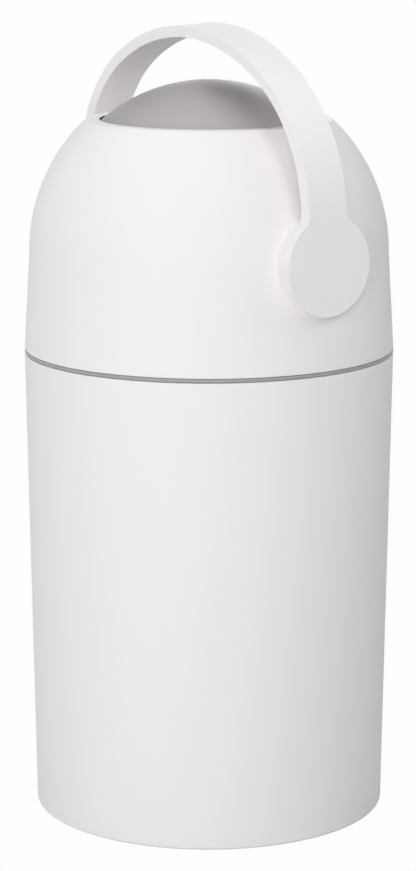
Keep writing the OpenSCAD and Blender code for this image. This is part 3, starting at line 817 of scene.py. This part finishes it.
class NAPPYBIN_OT_piston(bpy.types.Operator):
    """Makes the piston: sleeve, two caps shaped as part of the ball, and two wiper rings"""

    bl_idname = "nappybin.piston"
    bl_label = "Piston"

    def execute(self, context):
        sizes, drum = context.scene.nappy_bin_piston, context.scene.nappy_bin_drum
        rest = sizes.length / 2 - chute_end(drum)
        plastic, seal = "piston_plastic", "seal_rubber"
        cap, wiper = self.cap(sizes, drum), self.wiper(sizes, drum)
        for name, node, slot, outline, flip in (
            ("piston_body", "piston_sleeve", plastic, self.sleeve(sizes), False),
            ("piston_dome_rear", "piston_rear_cap", plastic, cap, False),
            ("piston_dome_front", "piston_front_cap", plastic, cap, True),
            ("piston_seal_rear", "rear_wiper", seal, wiper, False),
            ("piston_seal_front", "front_wiper", seal, wiper, True),
        ):
            place, closed = drum_place(rest, flip), outline is wiper
            turned(name, "piston", slot, node, outline, closed, place=place)
        return {"FINISHED"}

    def sleeve(self, sizes):
        """Half outline of the sleeve, from the middle of its web's one face to the other's."""
        half, web, edge = sizes.length / 2, sizes.web / 2, sizes.edge
        bore, bottom = sizes.radius - sizes.wall, sizes.radius - sizes.groove
        middle, reach = half - sizes.wiper_in, sizes.wiper / 2 + sizes.snug
        near, far = middle + reach, middle - reach
        rear = [
            (0, web, 0),
            (bore, web, 2 * edge),
            (bore, half, edge / 2),
            (sizes.radius, half, edge),
            (sizes.radius, near, edge / 4),
            (bottom, near, edge / 4),
            (bottom, far, edge / 4),
            (sizes.radius, far, edge / 4),
        ]
        return rear + [(r, -y, c) for r, y, c in reversed(rear)]

    def cap(self, sizes, drum):
        """Half outline of the rear cap, from the middle of its face to the middle of its hollow."""
        half, edge = sizes.length / 2, sizes.edge
        centre = half - chute_end(drum)
        edge_r, spigot_r = drum.lip - sizes.cap_gap, sizes.radius - sizes.wall - 2 * sizes.snug
        outer_r = drum.ball - sizes.cap_gap
        inner_r, bore = outer_r - sizes.cap_wall, spigot_r - sizes.cap_wall
        seat = half + sizes.snug
        face = self.bulge(centre, outer_r, edge_r)
        hollow = self.bulge(centre, inner_r, bore)
        skirt = [
            (edge_r, seat, edge / 4),
            (spigot_r, seat, 0),
            (spigot_r, half - sizes.spigot, edge),
            (bore, half - sizes.spigot, edge),
        ]
        rim, root = (*face[-1][:2], edge), (*hollow[-1][:2], edge)
        return [*face[:-1], rim, *skirt, root, *hollow[-2::-1]]

    def bulge(self, centre, r, reach):
        """Points from the pole of a ball out to a radius, with the ball's centre on the axis."""
        end, steps = math.degrees(math.asin(reach / r)), 24
        return [(y, x + centre, 0) for x, y in arc(0, 0, r, 0, end, steps)]

    def wiper(self, sizes, drum):
        """Outline of a wiper ring with two lips."""
        y, half, edge = sizes.length / 2 - sizes.wiper_in, sizes.wiper / 2, sizes.edge / 4
        inner, outer = sizes.radius - sizes.groove + sizes.snug, drum.chute - sizes.soft_gap
        land, lip = sizes.radius, half * 0.8
        return [
            (inner, y - half, edge),
            (land, y - half, edge),
            (outer, y - lip, edge),
            (land, y, edge),
            (outer, y + lip, edge),
            (land, y + half, edge),
            (inner, y + half, edge),
        ]


# Screws


class Screw(NamedTuple):
    """A kind of screw, in millimetres: radius and height of its head and radius of its shank."""

    head: float
    height: float
    shank: float


LARGE_SCREW, SMALL_SCREW = Screw(2.8, 2.2, 1.5), Screw(2.3, 1.4, 1.2)
HUB_SCREW = Screw(4.4, 3, 2)
SMALL_LENGTH, HUB_LENGTH = 14 * MM, 18.95 * MM
# shares of the shank's radius: the thread's core and crest, the cone's length and its roundings
CORE, CREST, CONE, CONE_ROUND, END_ROUND = 0.8, 0.86, 1.2, 0.2, 0.1
# shares of the head's height: rounding above and below, where the thread ends
TOP_ROUND, LOW_ROUND, NECK = 0.7, 0.1, 1.3
END = 0.3  # radius of the cone's end to the core's


class NAPPYBIN_OT_screws(bpy.types.Operator):
    """Makes every screw with its recess and thread"""

    bl_idname = "nappybin.screws"
    bl_label = "Screws"

    def execute(self, context):
        sizes, drum = context.scene.nappy_bin_screws, context.scene.nappy_bin_drum
        for name, node, screw, first in (
            ("lid_screws", "housing_screws", LARGE_SCREW, 30),
            ("plate_screws", "retainer_screws", SMALL_SCREW, 0),
        ):
            lowest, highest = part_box(node)
            # with the first of six at 30 degrees one stands on Y, and with the first at 0 on X
            ring = 6, (highest.y if first else highest.x) - screw.head * MM, first
            place = Matrix.Translation((0, 0, lowest.z)) @ Matrix.Rotation(math.pi, 4, "X")
            piece = self.ring(sizes, name, screw, highest.z - lowest.z, ring, place)
            dress(piece, "lid", "screw_steel", node)
        # on each side: the trunnion's screws point inwards and the hub's screw outwards
        trunnion = SMALL_SCREW, SMALL_LENGTH, (4, sizes.trunnion_ring, 45), sizes.trunnion_face, 1
        hub = HUB_SCREW, HUB_LENGTH, (1, 0, 45), sizes.web_face, -1
        for name, node, (screw, long, ring, x, way) in (
            ("flange_screws", "trunnion_screws", trunnion),
            ("stub_screws", "hub_screws", hub),
        ):
            sides = []
            for side in (-1, 1):
                place = on_pivot(drum.lean) @ Matrix.Translation((side * x, 0, 0))
                place = place @ Matrix.Rotation(side * way * math.pi / 2, 4, "Y")
                sides.append(self.ring(sizes, name, screw, long, ring, place))
            dress(joined(sides), "drum", "screw_steel", node)
        return {"FINISHED"}

    def ring(self, sizes, name, screw, long, ring, place):
        """A ring of like screws about Z, heads up: their number, its radius, the first angle."""
        count, reach, first = ring
        head, height, shank = (value * MM for value in screw)
        core, cone = shank * CORE, shank * CONE
        outline = [
            (0, 0, 0),
            (head, 0, height * TOP_ROUND),
            (head, -height, height * LOW_ROUND),
            (core, -height, height * LOW_ROUND),
            (core, cone - long, shank * CONE_ROUND),
            (core * END, -long, shank * END_ROUND),
            (0, -long, 0),
        ]
        piece = outline_mesh(name, outline, closed=False)
        add_nodes(
            piece,
            screw_tree(),
            thread_radius=shank * CREST,
            thread_start=cone - long,
            thread_length=long - cone - height * NECK,
            pitch=shank * sizes.pitch,
            recess=head * sizes.recess,
            count=count,
            ring_radius=reach,
            first_angle=math.radians(first),
            finish=finishes()["screw_steel"],
        )
        settle(piece, place)
        return piece


def joined(pieces):
    """Joins finished pieces into the first."""
    work = bmesh.new()
    for piece in pieces:
        work.from_mesh(piece.data)
    work.to_mesh(pieces[0].data)
    work.free()
    for piece in pieces[1:]:
        bpy.data.objects.remove(piece)
    return pieces[0]


# Handle


HUB_STEPS, FILLET_STEPS, BOSS_STEPS = 96, 10, 128
FLAT_STEPS, PILOT_STEPS = 12, 24


def three_centred(r, x, split, steps):
    """Half of a three-centred arch from the top to where it ends upright at x, as points (x, z)."""
    shoulder = (x - r * math.sin(split)) / (1 - math.sin(split))
    cx, cz = (r - shoulder) * math.sin(split), (r - shoulder) * math.cos(split)
    crown = arc(0, 0, r, 90, 90 - math.degrees(split), steps)
    return crown + arc(cx, cz, shoulder, 90 - math.degrees(split), 0, steps)[1:]


def side_outline(sizes, top):
    """The handle seen from the side: a hub that flows through fillets into a straight leg."""
    half, reach = sizes.width / 2, sizes.hub + sizes.fillet
    cy = half + sizes.fillet
    cz = math.sqrt(reach**2 - cy**2)
    tilt = math.degrees(math.atan2(cz, cy))
    hub = arc(0, 0, sizes.hub, tilt, -180 - tilt, HUB_STEPS)
    right = arc(cy, cz, sizes.fillet, 180, 180 + tilt, FILLET_STEPS)
    left = [(-y, z) for y, z in right[::-1]]
    return [(half, top), *right[:-1], *hub, *left[1:], (-half, top)]


class NAPPYBIN_OT_handle(bpy.types.Operator):
    """Makes the arched handle with its two hubs"""

    bl_idname = "nappybin.handle"
    bl_label = "Handle"

    def execute(self, context):
        sizes = context.scene.nappy_bin_handle
        hub_x = FACE_X - sizes.hub_thickness
        stub_x = hub_x - sizes.stub_length
        piece = self.arch(sizes, hub_x)
        flat = math.degrees(math.asin(sizes.key))
        stub = arc(0, 0, sizes.stub, -flat, flat, FLAT_STEPS)
        stub += arc(0, 0, sizes.stub, 180 - flat, 180 + flat, FLAT_STEPS)
        pilot = circle(sizes.pilot, PILOT_STEPS)
        # each starts or ends past the face that it meets
        for name, outline, start, end, operation in (
            ("stub", stub, stub_x, hub_x + MM / 2, "UNION"),
            ("pilot", pilot, stub_x - MM, hub_x + sizes.pilot_depth, "DIFFERENCE"),
        ):
            for side in (-1, 1):
                tool = prism(name, outline, *sorted((side * start, side * end)), along_x)
                cut(piece, tool, operation)
                baked(piece, [tool])
        piece.data.transform(on_pivot(context.scene.nappy_bin_drum.lean))
        dress(piece, "drum", "white_handle", "handle")
        return {"FINISHED"}

    def arch(self, sizes, hub_x):
        """The arch with its hubs, about the pivot: front outline and side outline cross."""
        r, inside, reach, past = FACE_X + sizes.rise, FACE_X - sizes.leg, 1.5 * sizes.hub, 10 * MM
        outer = three_centred(r, FACE_X, sizes.split, sizes.steps)
        inner = three_centred(r - sizes.crown, inside, sizes.split, sizes.steps)
        loop = [*[(-x, z) for x, z in outer[::-1]], *outer[1:], (FACE_X, -reach), (inside, -reach)]
        loop += [*inner[::-1], *[(-x, z) for x, z in inner[1:]]]
        loop += [(-inside, -reach), (-FACE_X, -reach)]
        piece = prism("handle_arch", loop, -reach, reach, along_y)
        tools = []
        for name, outline, x, operation in (
            ("side", side_outline(sizes, r + past), FACE_X + past, "INTERSECT"),
            ("boss", circle(sizes.hub + sizes.clearance, BOSS_STEPS), hub_x, "DIFFERENCE"),
        ):
            tools.append(prism(name, outline, -x, x, along_x))
            cut(piece, tools[-1], operation)
        soften(piece, sizes.edge, segments=3, angle=40)
        return baked(piece, tools)


# Finishes of the nodes that stay


class NAPPYBIN_OT_finishes(bpy.types.Operator):
    """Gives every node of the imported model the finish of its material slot"""

    bl_idname = "nappybin.finishes"
    bl_label = "Finishes"

    def execute(self, context):
        made = finishes()
        slots = {part["node"]: part["material_slot"] for part in frame["record"]["subparts"]}
        for name, node in NODES.items():
            node.data.materials.clear()
            node.data.materials.append(made[slots[name]])
        return {"FINISHED"}


# Stage


MIDDLE = Vector((0, 0, 0.35))  # where the lights aim
# name, degrees to the right of the camera, degrees up, watts
LIGHTS = (
    ("front", -5, 10, 21.8),
    ("front_left", -35, 10, 19.5),
    ("left", -95, 10, 11.0),
    ("rear_left", -135, 10, 5.8),
    ("rear_left_high", -135, 40, 4.0),
    ("rear_left_top", -135, 66, 12.2),
    ("front_right_high", 25, 40, 14.0),
    ("right", 60, 40, 2.2),
    ("rear_right", 100, 40, 20.0),
    ("back", 180, 15, 12.0),
    ("top", 0, 89, 14.6),
)


def aimed(thing, place, way):
    """Puts a light or a camera in its place and turns it to face a way."""
    thing.location = place
    thing.rotation_euler = way.to_track_quat("-Z", "Y").to_euler()


def area_light(name, place, size, power):
    """A square soft light that faces the middle of the bin."""
    light = bpy.data.lights.new(name, "AREA")
    light.shape, light.size, light.energy = "SQUARE", size, power
    aimed(add_object(name, light), place, MIDDLE - place)


def floor_sheet(name, size, height, grey, glow=0.0):
    """A flat square of floor of one grey that may glow."""
    h = size / 2
    corners = [(-h, -h, height), (h, -h, height), (h, h, height), (-h, h, height)]
    sheet = mesh_from(name, corners, [(0, 1, 2, 3)])
    material, tree = new_material(name)
    dull = tree.add("ShaderNodeBsdfDiffuse", {"Color": (grey, grey, grey, 1)})
    light = tree.add("ShaderNodeEmission", {"Strength": glow})
    both = tree.add("ShaderNodeAddShader", {0: dull, 1: light})
    tree.end("ShaderNodeOutputMaterial", "Surface", both)
    sheet.data.materials.append(material)
    return sheet


class NAPPYBIN_OT_stage(bpy.types.Operator):
    """Makes the pale floor, the soft lights and the camera"""

    bl_idname = "nappybin.stage"
    bl_label = "Stage"

    def execute(self, context):
        sizes = context.scene.nappy_bin_stage
        context.scene.view_settings.view_transform = "Standard"
        self.floor(sizes)
        self.backdrop(context.scene, sizes)
        self.lights(sizes)
        self.camera(context.scene, sizes)
        return {"FINISHED"}

    def floor(self, sizes):
        """A white floor that camera and gloss see, and a grey one under it that takes the light."""
        white = floor_sheet("white_floor", sizes.floor, 0, grey=0, glow=sizes.glow)
        white.visible_diffuse = white.visible_shadow = False
        grey = floor_sheet("grey_floor", sizes.floor, -MM, grey=sizes.floor_grey)
        grey.visible_camera = False

    def backdrop(self, scene, sizes):
        """A white world that is seen and lights nothing."""
        world = bpy.data.worlds.new("studio")
        world.use_nodes = True
        inputs = world.node_tree.nodes["Background"].inputs
        inputs["Strength"].default_value = sizes.world
        inputs["Color"].default_value = (1, 1, 1, 1)
        seen = world.cycles_visibility
        seen.diffuse = seen.glossy = seen.transmission = seen.scatter = False
        scene.world = world

    def lights(self, sizes):
        """The soft lights, placed round the bin from where the camera stands."""
        ahead = math.atan2(sizes.eye[1], sizes.eye[0])
        for name, turn, height, power in LIGHTS:
            turn, height = math.radians(turn) + ahead, math.radians(height)
            level = math.cos(height)
            way = Vector((level * math.cos(turn), level * math.sin(turn), math.sin(height)))
            area_light(name, MIDDLE + way * sizes.distance, sizes.panel, power)

    def camera(self, scene, sizes):
        """The camera of the photo: it looks at the bin's axis and a little down."""
        camera = bpy.data.cameras.new("photo")
        camera.lens, camera.sensor_width = sizes.lens, sizes.sensor
        camera.shift_x, camera.clip_end = sizes.shift, sizes.reach
        eye = Vector(sizes.eye)
        flat = Vector((-eye.x, -eye.y, 0)).normalized()
        aim = flat * math.cos(sizes.pitch) - Vector((0, 0, math.sin(sizes.pitch)))
        scene.camera = add_object("photo", camera)
        aimed(scene.camera, eye, aim)


# Add-on


class NAPPYBIN_PT_panel(bpy.types.Panel):
    """Lists the pieces of the nappy bin"""

    bl_idname = "NAPPYBIN_PT_panel"
    bl_label = "Nappy Bin"
    bl_space_type = "VIEW_3D"
    bl_region_type = "UI"
    bl_category = "Nappy Bin"

    def draw(self, context):
        for operator in OPERATORS:
            self.layout.operator(operator.bl_idname)


GROUPS = {
    "nappy_bin_finish": FinishSizes,
    "nappy_bin_bin": BinSizes,
    "nappy_bin_opening": OpeningSizes,
    "nappy_bin_drum": DrumSizes,
    "nappy_bin_piston": PistonSizes,
    "nappy_bin_screws": ScrewSizes,
    "nappy_bin_handle": HandleSizes,
    "nappy_bin_stage": StageSizes,
}
OPERATORS = (
    NAPPYBIN_OT_finishes,
    NAPPYBIN_OT_bin,
    NAPPYBIN_OT_bag_ring,
    NAPPYBIN_OT_lid,
    NAPPYBIN_OT_seal,
    NAPPYBIN_OT_chute,
    NAPPYBIN_OT_piston,
    NAPPYBIN_OT_screws,
    NAPPYBIN_OT_handle,
    NAPPYBIN_OT_stage,
)


def register():
    for group in GROUPS.values():
        bpy.utils.register_class(group)
    for name, group in GROUPS.items():
        setattr(bpy.types.Scene, name, PointerProperty(type=group))
    for operator in OPERATORS:
        bpy.utils.register_class(operator)
    bpy.utils.register_class(NAPPYBIN_PT_panel)


def unregister():
    bpy.utils.unregister_class(NAPPYBIN_PT_panel)
    for operator in reversed(OPERATORS):
        bpy.utils.unregister_class(operator)
    for name in GROUPS:
        delattr(bpy.types.Scene, name)
    for group in reversed(list(GROUPS.values())):
        bpy.utils.unregister_class(group)


def main():
    register()
    for operator in OPERATORS:
        getattr(bpy.ops.nappybin, operator.bl_idname.split(".")[1])()


if __name__ == "__main__":
    main()
